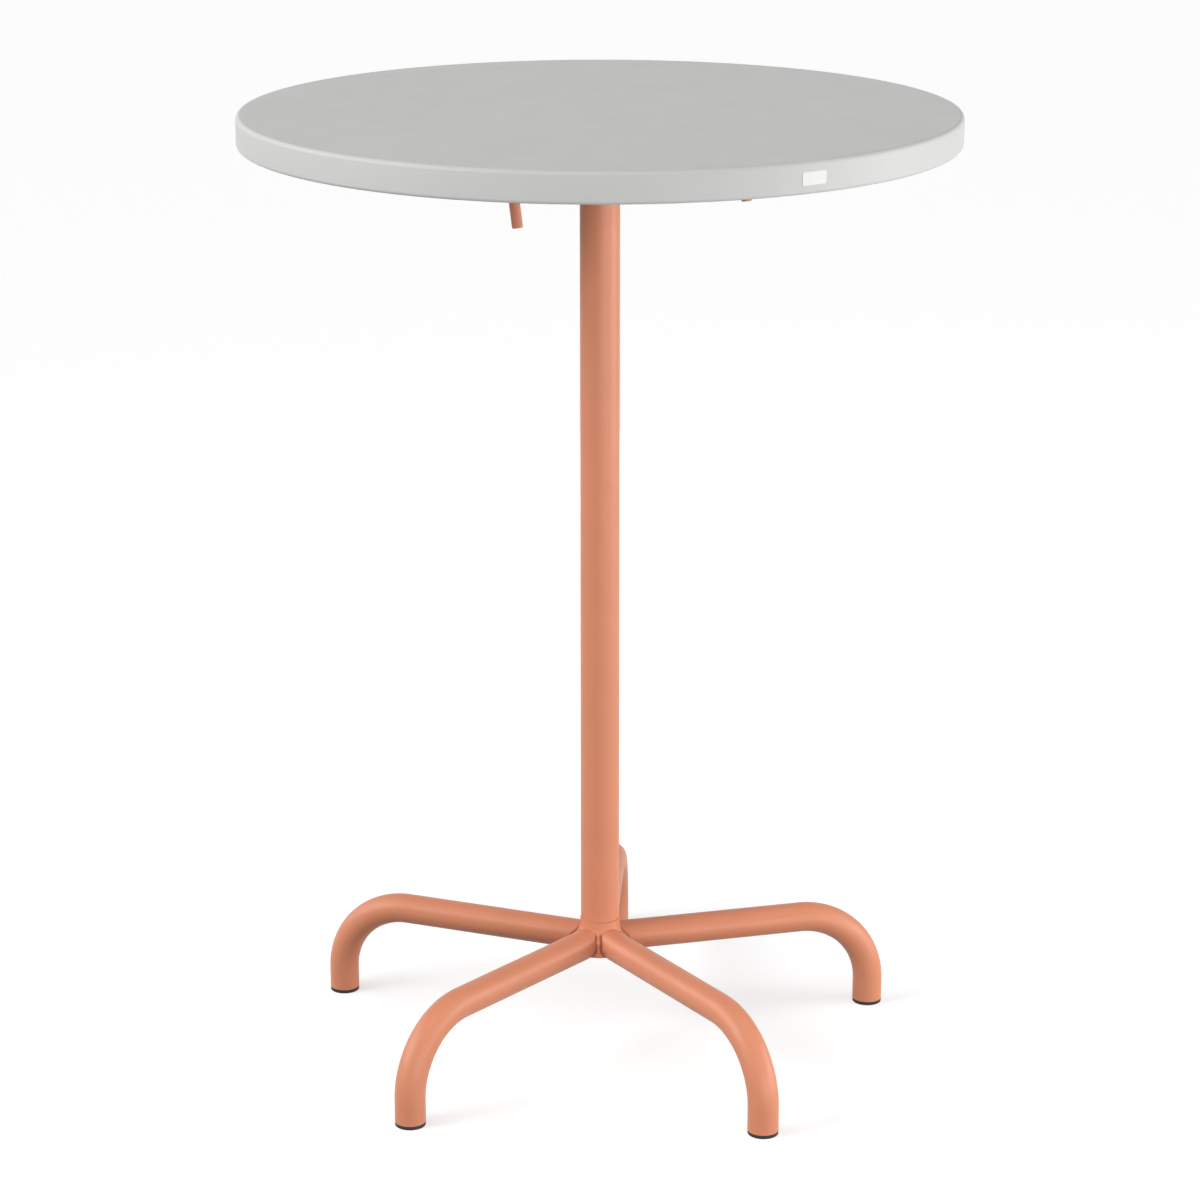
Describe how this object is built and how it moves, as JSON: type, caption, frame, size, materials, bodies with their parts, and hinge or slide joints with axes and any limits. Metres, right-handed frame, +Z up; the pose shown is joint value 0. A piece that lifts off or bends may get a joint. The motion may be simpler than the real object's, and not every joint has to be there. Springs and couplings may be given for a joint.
{
  "type": "folding bar table",
  "caption": "Round bar-height table whose moulded top tilts upright on a tubular column with a bent-tube star base; twin finger levers under the top free a spring catch.",
  "frame": {"origin": "on the floor, on the axis of the column", "axes": "+Z up along the column, -Y to the user's side, where the finger levers are, and X along the pivot"},
  "size_m": [0.7999, 0.8, 1.1],
  "materials": {
    "top_shell": "satin light grey moulded glass-fibre plastic",
    "powder_coat": "satin salmon powder coat on steel tube",
    "zinc_steel": "bright zinc plated steel",
    "spring_steel": "plain spring steel strip",
    "nylon": "natural nylon",
    "rest_rubber": "black rubber",
    "glide_plastic": "black moulded plastic",
    "brass": "plain brass"
  },
  "bodies": {
    "base": {"column_tube": "powder_coat", "base_hub": "powder_coat", "head_plate": "powder_coat", "head_ear_left": "powder_coat", "head_ear_right": "powder_coat", "leg_1": "powder_coat", "leg_2": "powder_coat", "leg_3": "powder_coat", "leg_4": "powder_coat", "leg_5": "powder_coat", "pivot_spacer": "zinc_steel", "catch_screws": "zinc_steel", "spring_catch": "spring_steel", "pivot_bush_left": "nylon", "pivot_bush_right": "nylon", "rest_pad_left": "rest_rubber", "rest_pad_right": "rest_rubber", "foot_glide_1": "glide_plastic", "foot_glide_2": "glide_plastic", "foot_glide_3": "glide_plastic", "foot_glide_4": "glide_plastic", "foot_glide_5": "glide_plastic"},
    "top": {"table_top": "top_shell", "thread_inserts": "brass", "mounting_plate": "powder_coat", "mounting_screws": "zinc_steel", "cheek_left": "powder_coat", "cheek_right": "powder_coat", "fold_stop": "powder_coat", "strike_rod": "powder_coat", "pivot_bolt": "zinc_steel", "pivot_nut": "zinc_steel", "pivot_washers": "zinc_steel", "bar_bush_left": "nylon", "bar_bush_right": "nylon"},
    "release": {"release_bar": "powder_coat", "release_cam": "powder_coat", "bar_clips": "zinc_steel"}
  },
  "joints": [
    {"name": "top_fold", "type": "hinge", "parent": "base", "child": "top", "pos_m": [0, 0.045, 1.05], "axis": [-1, 0, 0], "range_deg": [0, 90], "deforming": ["spring_catch"]},
    {"name": "lever_release", "type": "hinge", "parent": "top", "child": "release", "pos_m": [0, -0.0514, 1.074], "axis": [-1, 0, 0], "range_deg": [0, 20], "deforming": ["spring_catch"]}
  ]
}
